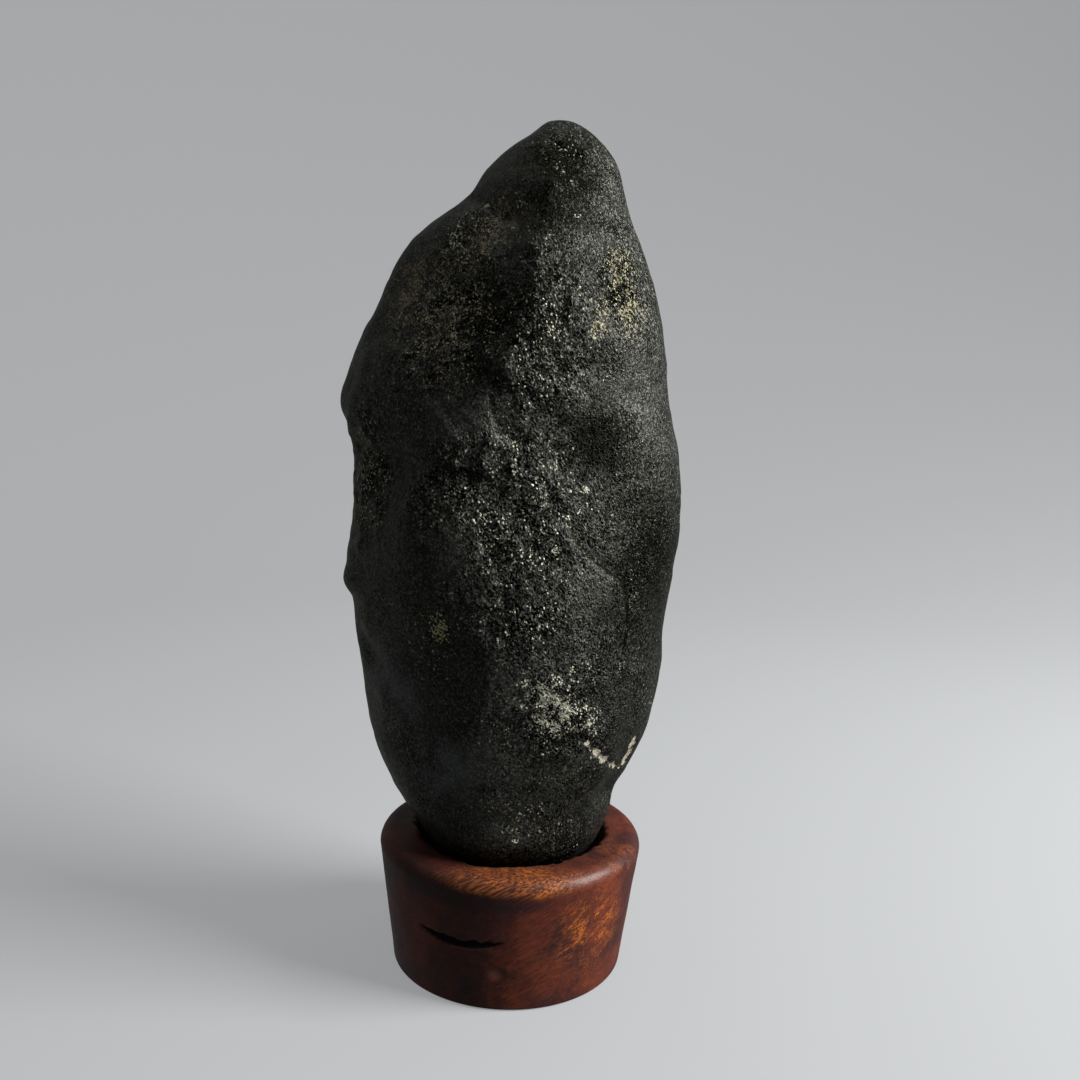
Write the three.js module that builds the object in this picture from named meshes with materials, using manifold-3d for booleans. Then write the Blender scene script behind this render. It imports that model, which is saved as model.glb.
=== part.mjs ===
// A scholar's rock, worn smooth by water, standing in the socket of a round wooden stand.
// Units are millimetres, +Z is up, and the origin is the centre of the stand's flat underside.
// Seen from the front, which faces -Y, the stone leans up to a blunt peak a little right of centre.
import * as THREE from "three";
import { mergeVertices } from "three/addons/utils/BufferGeometryUtils.js";
import { ImprovedNoise } from "three/addons/math/ImprovedNoise.js";
import Module from "manifold-3d";

// ---- Driving dimensions ----

const STAND = {
  height: 32.6,
  footRadius: 28.3, // the side widens upwards from here
  rimRadius: 32,
  lipRound: 3.4, // rounding between the side and the top face
  heelRound: 0.9, // rounding between the side and the underside
  segments: 96,
};

const STONE = {
  foot: 20.4, // height of its lowest point, inside the socket
  peak: 200,
  footRound: 17, // radius of curvature of the two ends
  peakRound: 14,
};

// The socket is cut to the stone, a little wider all round and looser at its two sides.
// Strokes of the gouge leave its wall faintly scalloped.
const SOCKET = { clearance: 0.45, looseSides: 1.3, gouge: 0.45, strokes: 9 };

// A natural split in the side of the stand, at the front left. Its ends curl up, the right one more.
const SPLIT = { azimuth: -110.5, halfLength: 10.8, height: 16.1, halfHeight: 1.1, depth: 1.2, curl: 0.014, lean: 0.03 };

// The stone's outline as rows of [height, x], on the left and on the right of the stand's axis.
const LEFT = [
  [27, -16.5], [32.5, -21], [38.5, -24.9], [44.5, -29.4], [52.5, -33.5], [63, -36.3], [73, -37.8], [82, -39.2],
  [88, -39.6], [94, -41.6], [101, -41.2], [110, -40.2], [119, -40.4], [127, -41], [131, -42.8], [136.5, -43.8],
  [142, -42.1], [149.5, -39.5], [159, -35.3], [168, -30.9], [177, -22.8], [182.5, -15], [186.5, -12.4],
  [192, -7.8], [197.5, -0.5],
];
const RIGHT = [
  [27, 17.5], [32.5, 21.5], [38.5, 24], [45, 25], [49, 27.4], [55.5, 31], [63.5, 33.2], [73.5, 34.6],
  [83.5, 34.8], [91.5, 35.8], [101.5, 36.9], [111, 37.5], [120.5, 37], [128, 35.8], [133.5, 34.2],
  [143, 32.7], [156, 30.5], [165, 28], [172, 25.3], [179, 22], [186, 20.3], [191, 18.4], [195.5, 14.8],
  [198, 11.8],
];
// The same as [height, y], for the front and the back.
const FRONT = [
  [32.5, -23], [45, -26.4], [62, -29.2], [84, -30.6], [106, -30.4], [124, -28.6], [140, -27.5], [156, -23.4],
  [170, -18.4], [182, -13.4], [192, -8.6],
];
const BACK = [
  [32.5, 19.4], [46, 23.4], [66, 26.6], [90, 28], [114, 27], [134, 24], [152, 19.4], [168, 14.6], [182, 10.4],
  [192, 7.4],
];
// The ridge down the front as [height, x], between the flat face on its left and the round flank on its right.
const RIDGE = [
  [20.4, -1], [55, -4.5], [72, -4.8], [82, -4.2], [94, -8], [102, -12.5], [112, -15], [122, -13.5], [134, -8.8],
  [144, -7], [156, 0.6], [172, 0.8], [186, 2.2], [200, 5.6],
];

// Roundness of each quarter of a level section: 2 is an ellipse, and less is flatter with a sharper ridge.
// The front left quarter is given as [height, roundness], for it is flattest above the ledge.
const ROUNDNESS = { frontRight: 2.05, backRight: 2.25, backLeft: 2.1 };
const FLATNESS = [
  [20.4, 2], [50, 1.8], [100, 1.6], [128, 1.45], [160, 1.38], [186, 1.5], [200, 1.9],
];

// Swellings (+) and hollows (-) of the surface: centre, reach along X, Y and Z, and height.
const RELIEF = [
  { name: "shoulder", at: [-27, -15, 140], reach: [22, 20, 16], height: 1.9 },
  { name: "under the shoulder", at: [-24, -18, 120], reach: [24, 16, 9], height: -2.3 },
  { name: "left face", at: [-27, -18, 100], reach: [15, 16, 16], height: -0.9 },
  { name: "neck", at: [-7, -14, 176], reach: [15, 14, 9], height: -1.9 },
  { name: "knob", at: [2, -8, 190], reach: [13, 12, 10], height: 1.2 },
  { name: "lower front", at: [6, -30, 82], reach: [21, 14, 26], height: 1.4 },
  { name: "upper right hollow", at: [12, -25, 127], reach: [13, 12, 11], height: -1.2 },
  { name: "right cheek", at: [19, -18, 152], reach: [14, 14, 14], height: 0.9 },
  { name: "chip", at: [26, -12, 55], reach: [8, 13, 7], height: -1.4 },
  { name: "left fold", at: [-34, -12, 78], reach: [9, 12, 7], height: -1.1 },
  { name: "left foot", at: [-20, -18, 52], reach: [16, 14, 18], height: 0.8 },
  { name: "back hollow", at: [-9, 26, 122], reach: [20, 16, 34], height: -3 },
  { name: "back swelling", at: [15, 24, 84], reach: [20, 16, 24], height: 1.8 },
  { name: "back shoulder", at: [-20, 18, 150], reach: [16, 14, 14], height: 1.2 },
  { name: "back cleft", at: [6, 20, 160], reach: [9, 12, 20], height: -1.4 },
];
const WAVES = { length: 17, height: 0.55 }; // the gentle unevenness all over

// Faces along the sides of the box that the stone starts as, and how much of its height the walls take.
const GRID = { across: 16, deep: 13, up: 36, walls: 0.86 };

const COLOURS = { stone: 0x2b2d2a, wood: 0x5d2b1b };

// ---- Solids ----

const wasm = await Module();
wasm.setup();

function solidOf(geometry) {
  const plain = geometry.clone();
  for (const name of ["normal", "uv"]) plain.deleteAttribute(name);
  const merged = mergeVertices(plain, 1e-3);
  return new wasm.Manifold(
    new wasm.Mesh({
      numProp: 3,
      vertProperties: merged.attributes.position.array,
      triVerts: new Uint32Array(merged.index.array),
    }),
  );
}

function geometryOf(solid) {
  const { vertProperties, triVerts } = solid.getMesh();
  const geometry = new THREE.BufferGeometry();
  geometry.setAttribute("position", new THREE.BufferAttribute(vertProperties, 3));
  geometry.setIndex(new THREE.BufferAttribute(triVerts, 1));
  return geometry;
}

// ---- The stone ----

const middle = (STONE.peak + STONE.foot) / 2;
const halfHeight = (STONE.peak - STONE.foot) / 2;
const latitude = (height) => Math.asin(THREE.MathUtils.clamp((height - middle) / halfHeight, -1, 1));

// A smooth function of latitude through rows of [height, value].
function curveThrough(rows, valueOf = (value) => value, ends = {}) {
  const stops = rows.map(([height, value]) => [latitude(height), valueOf(value, height)]);
  if (ends.foot !== undefined) stops.unshift([-Math.PI / 2, ends.foot]);
  if (ends.peak !== undefined) stops.push([Math.PI / 2, ends.peak]);
  const spline = new THREE.CubicInterpolant(
    stops.map((stop) => stop[0]),
    stops.map((stop) => stop[1]),
    1,
  );
  return (angle) => spline.evaluate(angle)[0];
}

const ridge = curveThrough(RIDGE);
const flatness = curveThrough(FLATNESS);
// The middle line of the stone leans straight from its foot to its peak.
const spine = (height) =>
  THREE.MathUtils.mapLinear(height, STONE.foot, STONE.peak, RIDGE[0][1], RIDGE.at(-1)[1]);

// How far a side reaches from the spine, over the cosine of latitude, so that both ends close as round caps.
function reachOf(rows, fromSpine) {
  const round = (radius) => Math.sqrt(radius * halfHeight);
  const value = (extent, height) =>
    Math.abs(extent - (fromSpine ? spine(height) : 0)) / Math.cos(latitude(height));
  return curveThrough(rows, value, { foot: round(STONE.footRound), peak: round(STONE.peakRound) });
}
const reach = {
  left: reachOf(LEFT, true),
  right: reachOf(RIGHT, true),
  front: reachOf(FRONT, false),
  back: reachOf(BACK, false),
};

const noise = new ImprovedNoise();

// The surface rises and sinks by this much at a point.
function reliefAt(point) {
  let rise = WAVES.height * noise.noise(...point.toArray().map((value) => value / WAVES.length));
  for (const { at, reach: size, height } of RELIEF) {
    const away = point.toArray().reduce((sum, value, axis) => sum + ((value - at[axis]) / size[axis]) ** 2, 0);
    if (away < 1) rise += height * (1 - away) ** 2;
  }
  return rise;
}

// The point of the stone's skin in a direction from its middle, grown outwards by a clearance.
function skinPoint(direction, clearance = 0) {
  const angle = Math.asin(direction.z);
  const height = middle + halfHeight * direction.z;
  const flat = new THREE.Vector2(direction.x, direction.y).normalize();
  const side = flat.x < 0 ? "left" : "right";
  const face = flat.y < 0 ? "front" : "back";
  const power = ROUNDNESS[face + side[0].toUpperCase() + side.slice(1)] ?? flatness(angle);
  const wide = Math.abs(flat.x) / reach[side](angle);
  const deep = Math.abs(flat.y) / reach[face](angle);
  const radius = Math.cos(angle) / (wide ** power + deep ** power) ** (1 / power);
  const towardsRidge = flat.y < 0 ? flat.y ** 2 * (ridge(angle) - spine(height)) : 0;
  const point = new THREE.Vector3(
    spine(height) + radius * flat.x + towardsRidge * Math.cos(angle),
    radius * flat.y,
    height,
  );
  const outward = new THREE.Vector3(flat.x * Math.cos(angle), flat.y * Math.cos(angle), direction.z);
  return point.addScaledVector(outward, reliefAt(point) + clearance);
}

// The direction from the stone's middle that a point of a box 2 x 2 x 2 stands for.
// The walls become level bands, even in height, and the lid and the bottom become the two end caps.
function directionOf(x, y, z) {
  const square = Math.max(Math.abs(x), Math.abs(y));
  if (square === 0) return new THREE.Vector3(0, -1e-6, Math.sign(z)); // turned a hair to the front
  const turn = (value) => Math.tan((value / square) * (Math.PI / 4));
  const flat = new THREE.Vector2(turn(x), turn(y)).normalize();
  const cap = Math.acos(GRID.walls);
  const fromTop = square < 1 && z > 0 ? square * cap : Math.PI - square * cap;
  const fromPole = Math.abs(z) < 1 || square === 1 ? Math.acos(GRID.walls * z) : fromTop;
  return new THREE.Vector3(flat.x * Math.sin(fromPole), flat.y * Math.sin(fromPole), Math.cos(fromPole));
}

function stoneGeometry(clearanceAt = () => 0) {
  const box = new THREE.BoxGeometry(2, 2, 2, GRID.across, GRID.deep, GRID.up);
  for (const name of ["normal", "uv"]) box.deleteAttribute(name);
  const geometry = mergeVertices(box, 1e-6);
  const position = geometry.attributes.position;
  const corner = new THREE.Vector3();
  for (let i = 0; i < position.count; i++) {
    const direction = directionOf(...corner.fromBufferAttribute(position, i).toArray());
    position.setXYZ(i, ...skinPoint(direction, clearanceAt(direction)).toArray());
  }
  return geometry;
}

// ---- The stand ----

// The turned blank, from the middle of its underside round to the middle of its top.
function blankGeometry() {
  const { height, footRadius, rimRadius, lipRound, heelRound, segments } = STAND;
  const outline = new THREE.Path();
  outline.moveTo(0, 0);
  outline.lineTo(footRadius - heelRound, 0);
  outline.quadraticCurveTo(footRadius, 0, footRadius, heelRound);
  outline.lineTo(rimRadius, height - lipRound);
  outline.absarc(rimRadius - lipRound, height - lipRound, lipRound, 0, Math.PI / 2, false);
  outline.lineTo(0, height);
  const profile = outline.getPoints(5);
  profile[0].x = profile.at(-1).x = 0;
  return new THREE.LatheGeometry(profile, segments).rotateX(Math.PI / 2);
}

// How much wider than the stone the socket is, in a direction from the stone's middle.
function socketClearance(direction) {
  const azimuth = Math.atan2(direction.y, direction.x);
  const sideways = Math.abs(Math.cos(azimuth)) ** 3;
  const stroke = Math.abs(Math.sin((azimuth * SOCKET.strokes) / 2));
  return SOCKET.clearance + SOCKET.looseSides * sideways + SOCKET.gouge * stroke;
}

// A long thin lens, bent round the side of the stand.
function splitGeometry() {
  const { azimuth, halfLength, height, halfHeight, depth, curl, lean } = SPLIT;
  const geometry = new THREE.SphereGeometry(1, 12, 8).rotateZ(Math.PI / 2);
  const position = geometry.attributes.position;
  for (let i = 0; i < position.count; i++) {
    const along = position.getX(i) * halfLength;
    const z = height + position.getZ(i) * halfHeight + curl * along ** 2 + lean * along;
    const side = THREE.MathUtils.mapLinear(z, 0, STAND.height, STAND.footRadius, STAND.rimRadius);
    const radius = side + position.getY(i) * depth;
    const turn = THREE.MathUtils.degToRad(azimuth) + along / side;
    position.setXYZ(i, radius * Math.cos(turn), radius * Math.sin(turn), z);
  }
  return geometry;
}

function standGeometry() {
  const socket = solidOf(stoneGeometry(socketClearance));
  return geometryOf(solidOf(blankGeometry()).subtract(socket).subtract(solidOf(splitGeometry())));
}

// ---- The object ----

function piece(name, geometry, colour, roughness) {
  const material = new THREE.MeshStandardMaterial({ color: colour, roughness, metalness: 0 });
  const mesh = new THREE.Mesh(geometry, material);
  mesh.name = name;
  return mesh;
}

const scholarsRock = new THREE.Group();
scholarsRock.add(piece("stone", stoneGeometry(), COLOURS.stone, 0.5));
scholarsRock.add(piece("stand", standGeometry(), COLOURS.wood, 0.35));

export default scholarsRock;
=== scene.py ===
"""The looks of a scholar's rock: a dark, water-worn stone in the carved socket of a round wooden stand.

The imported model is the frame. The stone is worked up from a copy of its solid. The stand is turned afresh to
its solid's size, with its socket carved to match. Each gets its finish from nodes. Sizes in the tables of the
stone and the stand are in millimetres, and those of the stage are in metres. The origin is the middle of the
stand's underside, +Z is up and the front faces -Y.
"""

import math
import random

import bmesh
import bpy
import numpy as np
from bpy.props import FloatProperty, FloatVectorProperty, IntProperty, PointerProperty
from bpy.types import Operator, Panel, PropertyGroup
from mathutils import Matrix, Vector, noise
from mathutils.bvhtree import BVHTree


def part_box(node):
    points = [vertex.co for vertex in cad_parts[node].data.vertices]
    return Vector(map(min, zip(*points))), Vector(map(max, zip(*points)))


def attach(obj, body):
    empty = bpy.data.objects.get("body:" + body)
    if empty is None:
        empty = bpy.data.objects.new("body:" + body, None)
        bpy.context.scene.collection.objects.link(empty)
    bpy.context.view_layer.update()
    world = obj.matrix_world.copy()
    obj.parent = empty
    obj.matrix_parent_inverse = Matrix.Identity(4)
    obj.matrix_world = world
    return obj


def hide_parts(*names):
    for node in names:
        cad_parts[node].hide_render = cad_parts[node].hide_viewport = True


bl_info = {
    "name": "Scholar's Rock",
    "version": (1, 0, 0),
    "blender": (4, 5, 0),
    "location": "3D View > Sidebar > Rock",
    "description": "A water-worn scholar's rock and its round wooden stand",
    "category": "Add Mesh",
}

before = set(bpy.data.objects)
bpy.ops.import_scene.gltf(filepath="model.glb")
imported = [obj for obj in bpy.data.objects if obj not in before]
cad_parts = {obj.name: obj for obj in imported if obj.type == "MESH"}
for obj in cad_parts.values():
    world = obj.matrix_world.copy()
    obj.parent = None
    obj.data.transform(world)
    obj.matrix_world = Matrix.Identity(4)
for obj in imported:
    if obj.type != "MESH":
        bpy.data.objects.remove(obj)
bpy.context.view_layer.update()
STAND_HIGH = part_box("stand")[1]  # the upper corner of the stand's box, in metres

MM = 0.001


# ---- Settings that a user would change ----


def colour(name, description, default):
    return FloatVectorProperty(
        name=name, description=description, default=default, subtype="COLOR", size=3, min=0.0, max=1.0
    )


def length(name, description, default, low=0.0, high=1.0):
    return FloatProperty(
        name=name, description=description, default=default, min=low, max=high, unit="LENGTH", precision=5
    )


def share(name, description, default):
    return FloatProperty(
        name=name, description=description, default=default, min=0.0, max=1.0, subtype="FACTOR"
    )


def power(name, description, default):
    return FloatProperty(name=name, description=description, default=default, unit="POWER")


class RockStoneSettings(PropertyGroup):
    body: colour("Stone", "Colour of the worn stone", (0.0078, 0.0082, 0.0068))
    worn: colour("Rubbed stone", "Colour where the surface is rubbed and greyer", (0.0150, 0.0160, 0.0145))
    # The crumb-top colour is a painted glint: light caught on the grain's crests, laid into the colour.
    glint: colour("Crumb tops", "Colour of the lighter crumbs of the grain", (0.110, 0.110, 0.098))
    stain: colour("Brown stain", "Colour of the brown flecks on the upper left face", (0.185, 0.143, 0.085))
    mineral: colour("Pale mineral", "Colour of the pale grains and patches", (0.46, 0.45, 0.34))
    ochre: colour("Ochre mineral", "Colour of the ochre patch near the top right", (0.31, 0.27, 0.145))
    grain_size: length("Grain size", "Size of the coarser crumbs of the grain", 0.58 * MM, 0.2 * MM, 4 * MM)
    grain_height: length("Grain height", "How strongly the grain stands out", 0.70 * MM, 0.0, 1 * MM)
    finesse: IntProperty(
        name="Fineness", description="How often each face of the solid is divided", default=2, min=0, max=3
    )


class RockStandSettings(PropertyGroup):
    dark: colour("Dark wood", "Colour of the dark figure", (0.028, 0.0115, 0.0115))
    red: colour("Red wood", "Colour of most of the wood", (0.118, 0.0265, 0.0125))
    # The golden colour is partly painted light, on the lit ribbons at the front lip and the right, and partly
    # the figure's own.
    gold: colour("Golden wood", "Colour of the lit ribbons of the figure", (0.37, 0.100, 0.016))
    lip_round: length("Lip rounding", "Rounding between the side and the top", 3.4 * MM, 0.5 * MM, 8 * MM)
    heel_round: length("Heel rounding", "Rounding between side and underside", 0.9 * MM, 0.1 * MM, 4 * MM)
    heel_radius: length("Heel radius", "Radius of the side at the heel", 28.3 * MM, 0.01, 0.05)
    around: IntProperty(
        name="Steps round", description="Steps of the turned form", default=360, min=24, max=720
    )
    lacquer: share("Lacquer", "How much clear satin lacquer lies on the wood", 0.06)


class RockStageSettings(PropertyGroup):
    cloth: colour("Backdrop", "Colour of the floor and backdrop", (0.165, 0.169, 0.173))
    radius: length("Floor radius", "How far the floor reaches before it rises", 0.45, 0.3, 5.0)
    glow: FloatProperty(
        name="Backdrop glow",
        description="Even light that fills the shadow on the backdrop",
        default=0.275,
        min=0.0,
    )
    window_power: power("Window light", "Power of the large soft light on the right", 19.0)
    ceiling_power: power("Ceiling light", "Power of the weak light from above on the left", 0.5)
    wall_power: power("Wall light", "Power of the light on the backdrop behind", 2.5)
    room_light: FloatProperty(
        name="Room light", description="Strength of the even light from all round", default=0.165, min=0.0
    )


# ---- Shader maths ----


class Wire:
    """One output of a shader node. Sums written with wires add Math nodes."""

    def __init__(self, paint, socket):
        self.paint = paint
        self.socket = socket

    def _maths(self, operation, *terms):
        return self.paint.add("ShaderNodeMath", {"operation": operation}, dict(enumerate(terms)))

    def __add__(self, other):
        return self._maths("ADD", self, other)

    def __mul__(self, other):
        return self._maths("MULTIPLY", self, other)

    __radd__ = __add__
    __rmul__ = __mul__

    def __sub__(self, other):
        return self._maths("SUBTRACT", self, other)

    def __rsub__(self, other):
        return self._maths("SUBTRACT", other, self)

    def __pow__(self, other):
        return self._maths("POWER", self, other)

    def or_more(self, other):
        return self._maths("MAXIMUM", self, other)

    def or_less(self, other):
        return self._maths("MINIMUM", self, other)


class Paint:
    """A material for one finish. Its patterns are laid out in millimetres in the object's own frame."""

    def __init__(self, name, base, **constants):
        self.material = bpy.data.materials.new(name)
        self.material.use_nodes = True
        self.material.diffuse_color = (*base, 1.0)
        self.tree = self.material.node_tree
        self.tree.nodes.clear()
        self.shader = self.tree.nodes.new("ShaderNodeBsdfPrincipled")
        for key, value in constants.items():
            self.shader.inputs[key.replace("_", " ")].default_value = value
        output = self.tree.nodes.new("ShaderNodeOutputMaterial")
        self.tree.links.new(self.shader.outputs[0], output.inputs["Surface"])
        place = self.add("ShaderNodeTexCoord", output="Object")
        self.place = self.vector("SCALE", place, Scale=1 / MM)

    def add(self, kind, settings=None, values=None, output=0):
        """Adds any node: its settings first, then the values or wires of its inputs."""
        node = self.tree.nodes.new(kind)
        for key, value in (settings or {}).items():
            setattr(node, key, value)
        for key, value in (values or {}).items():
            self.feed(node.inputs[key], value)
        return Wire(self, node.outputs[output])

    def feed(self, socket, value):
        if isinstance(value, Wire):
            self.tree.links.new(value.socket, socket)
        elif socket.type == "RGBA":
            socket.default_value = (*value, 1.0)
        else:
            socket.default_value = value

    def vector(self, operation, *vectors, output="Vector", **values):
        terms = {**dict(enumerate(vectors)), **values}
        return self.add("ShaderNodeVectorMath", {"operation": operation}, terms, output)

    def finish_with(self, **wires):
        """Feeds the sockets of the shader that vary over the surface."""
        for key, wire in wires.items():
            self.feed(self.shader.inputs[key.replace("_", " ")], wire)
        return self.material

    def fade(self, value, start, end):
        """0 before start and 1 past end, with a smooth change between. It also runs downwards."""
        terms = {"Value": value, "From Min": start, "From Max": end}
        return self.add("ShaderNodeMapRange", {"interpolation_type": "SMOOTHSTEP"}, terms)

    def blend(self, mask, under, over):
        """Lays one colour over another by a mask."""
        settings = {"data_type": "RGBA", "clamp_factor": True}
        return self.add("ShaderNodeMix", settings, {0: mask, 6: under, 7: over}, output=2)

    def clouds(self, size, detail=3.0, roughness=0.5, at=None, distortion=0.0, output=0):
        """Soft noise about this many millimetres across, 0.5 on average."""
        terms = {
            "Vector": at or self.place,
            "Scale": 1 / size,
            "Detail": detail,
            "Roughness": roughness,
            "Distortion": distortion,
        }
        return self.add("ShaderNodeTexNoise", None, terms, output)

    def wrinkles(self, size, detail, at, distortion):
        """Sharp crests with rounded hollows between them, from about 0 to 1."""
        settings = {"noise_type": "RIDGED_MULTIFRACTAL"}
        terms = {
            "Vector": at,
            "Scale": 1 / size,
            "Detail": detail,
            "Roughness": 0.6,
            "Offset": 0.9,
            "Gain": 2.0,
            "Distortion": distortion,
        }
        to_one = 0.62
        return self.add("ShaderNodeTexNoise", settings, terms) * to_one

    def cells(self, size, at, feature="F1", output="Distance"):
        """Irregular cells about this many millimetres across."""
        terms = {"Vector": at, "Scale": 1 / size}
        return self.add("ShaderNodeTexVoronoi", {"feature": feature}, terms, output)

    def turned(self, degrees, stretch):
        """The object's frame, turned and then stretched by these lengths, for a pattern that runs one way."""
        settings = {"vector_type": "TEXTURE"}
        terms = {
            "Vector": self.place,
            "Rotation": tuple(math.radians(angle) for angle in degrees),
            "Scale": stretch,
        }
        return self.add("ShaderNodeMapping", settings, terms)

    def near(self, middle, reach, soft=1.0):
        """1 in the middle of an ellipsoid, falling to 0 at its edge."""
        away = self.vector("SUBTRACT", self.place, middle)
        away = self.vector("DIVIDE", away, reach)
        return self.fade(self.vector("LENGTH", away, output="Value"), 1.0, 1.0 - soft)

    def zone(self, patches):
        """The sum of several soft patches, each given by its middle and reach."""
        total = self.near(*patches[0])
        for patch in patches[1:]:
            total = total + self.near(*patch)
        return total

    def pick_out(self, number, wanted):
        """1 on the crumbs whose own number is below the wanted share."""
        return self.fade(wanted - number, 0.0, 0.06)

    def attribute(self, name):
        return self.add("ShaderNodeAttribute", {"attribute_name": name}, output="Fac")

    def bump(self, distance, height):
        return self.add("ShaderNodeBump", None, {"Strength": 1.0, "Distance": distance, "Height": height})

    def parts(self, vector):
        """The three parts of a vector."""
        node = self.tree.nodes.new("ShaderNodeSeparateXYZ")
        self.feed(node.inputs[0], vector)
        return [Wire(self, socket) for socket in node.outputs]

    def crumbs(self, size, at, wander):
        """Irregular crumbs, each with its top tipped its own way. Gives how far a place is from the seam
        between two crumbs, the height of the tipped top there, and three numbers from 0 to 1 that are the
        crumb's own."""
        half = (0.5, 0.5, 0.5)
        drift = self.vector("SUBTRACT", self.clouds(size * 1.7, 3.0, 0.6, at=at, output=1), half)
        at = self.vector("ADD", at, self.vector("SCALE", drift, Scale=2 * wander * size))
        seam = self.cells(size, at, feature="DISTANCE_TO_EDGE")
        own = self.cells(size, at, output="Color")
        middle = Wire(self, own.socket.node.outputs["Position"])
        across = self.vector("SUBTRACT", own, half)
        tip = self.vector("DOT_PRODUCT", self.vector("SUBTRACT", at, middle), across, output="Value")
        return seam, tip * (2 / size), self.parts(own)


# ---- The stone's form ----

# Lines on the front of the stone, as points [x, z].
LEDGE = [
    (-43, 127.5), (-36, 126), (-30, 125.2), (-24, 124.5), (-19, 123), (-14.4, 121.4), (-10.2, 121.2),
    (-7.4, 122.4), (-6, 125), (-5.2, 129), (-5.6, 134), (-6.6, 139),
]
STEP = [
    (6, 114.5), (10, 112), (12.3, 108), (15.6, 104), (20.2, 100.6), (23, 98.4), (24.3, 95), (24.6, 90),
    (24.4, 84),
]
CHIP_CRACK = [(17, 62.6), (19.5, 58.6), (22.4, 55.4), (25.1, 52.2), (26.8, 54), (28.3, 60.6)]
RIDGE_CRACK = [(-7.4, 139.6), (-6.9, 136), (-5.9, 133), (-5.2, 129.5)]
CHEEK_CRACK = [(6.9, 138), (7.5, 133)]
NECK = [(-17.5, 184.4), (-12, 180.8), (-8.4, 178.4), (-4.9, 176.4), (-1, 174.6), (3, 172.5)]
SCORE = [(-9.6, 98), (-3.3, 95.2), (3.1, 92.6), (9.4, 89.7)]
RIDGE = [(5.7, 189), (3.5, 180), (1.5, 171), (1.2, 162), (1.3, 154), (-1.2, 148.6), (-5.1, 143), (-7, 140)]
LOW_RIDGE = [
    (-14.6, 116), (-13.8, 112), (-12.1, 105.5), (-9.3, 97), (-7, 91), (-5.7, 82), (-4.6, 69), (-3.9, 54.5),
]
LEFT_FOLD = [(-38.5, 84), (-36.4, 79.8), (-33.2, 76), (-29.4, 74.6), (-25, 74)]
VEIN = [(-30, 125), (-22, 123.4), (-17.1, 122), (-12.3, 120.6), (-7.6, 119.8), (-4.8, 117.6)]

# Furrows along those lines: depth, half width, and the shares of the line over which it starts and ends.
CREASES = [
    (NECK, 1.1, 1.7, 0.01, 0.6),
    (STEP, 0.45, 0.8, 0.2, 0.35),
    (SCORE, 0.3, 0.6, 0.2, 0.4),
    (LEFT_FOLD, 0.9, 2.0, 0.02, 0.5),
    (CHIP_CRACK, 0.55, 0.6, 0.1, 0.1),
    (RIDGE_CRACK, 0.45, 0.55, 0.2, 0.2),
    (CHEEK_CRACK, 0.35, 0.5, 0.2, 0.2),
    (VEIN, 0.3, 0.9, 0.2, 0.2),
]

# Lines that the finish follows, each through an attribute of the mesh.
MARKED_LINES = {"chip_gap": CHIP_CRACK, "vein_gap": VEIN, "step_gap": STEP}

# Swellings and hollows: middle, reach and height.
SWELLINGS = [
    ((-5, -12.3, 176.4), (2.8, 5, 2.4), -0.8),  # the small dark pit below the neck
    ((-40, -3.5, 93.6), (6, 9, 4.6), 0.9),  # the nub on the left edge
    ((-41.5, -3, 135), (6, 8, 5), 0.5),
    ((22.5, -12.5, 47.8), (6.5, 9, 6.5), -1.5),  # the flake lost below the chip
    ((27.5, -10, 57.5), (4, 7, 5), 0.5),
    ((12, -24, 127), (12, 10, 10), -0.9),
    ((-14, -22, 131), (9, 12, 8), 0.8),  # the nose of the shoulder
    ((-24, -24, 112), (12, 12, 12), -0.7),
    ((7, -18, 186), (6, 10, 6), 0.5),
    ((12, -16, 178), (7, 10, 5), -0.7),
    ((-30, -10, 163), (7, 10, 8), -0.5),
    ((5, -30, 92), (12, 10, 12), 0.5),
    ((-12, -28, 80), (8, 10, 12), -0.6),
]

# Where the surface is rugged: middle and reach.
RUGGED = [
    ((2, -22, 150), (17, 18, 34)),
    ((-6, -28, 118), (30, 18, 20)),
    ((1, -31, 98), (19, 14, 26)),
    ((10, -28, 70), (14, 14, 16)),
    ((-18, -18, 152), (20, 16, 30)),
    ((20, -14, 162), (9, 14, 13)),
    ((6, -12, 190), (10, 12, 9)),
    ((8, 24, 120), (40, 26, 60)),
    ((-12, -12, 172), (14, 14, 12)),
    ((-34, -10, 118), (12, 18, 30)),
]

# Where it is rubbed smooth within those.
SMOOTH = [
    ((-6, -17, 166), (8, 16, 18)),
    ((-20, -24, 132), (12, 16, 9)),
    ((17, -20, 131), (9, 14, 11)),
    ((-15, -27, 106), (6, 12, 12)),
    ((14, -26, 84), (8, 12, 12)),
]

SMOOTHING_ROUNDS = 14
MERGE_GAP = 0.004 * MM  # corners of the solid closer than this are one


def smooth_ramp(value, start, end):
    part = np.clip((value - start) / (end - start), 0.0, 1.0)
    return part * part * (3 - 2 * part)


def swelling(points, middle, reach):
    away = (((points - np.array(middle)) / np.array(reach)) ** 2).sum(axis=1)
    return np.clip(1 - away, 0, 1) ** 2


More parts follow.
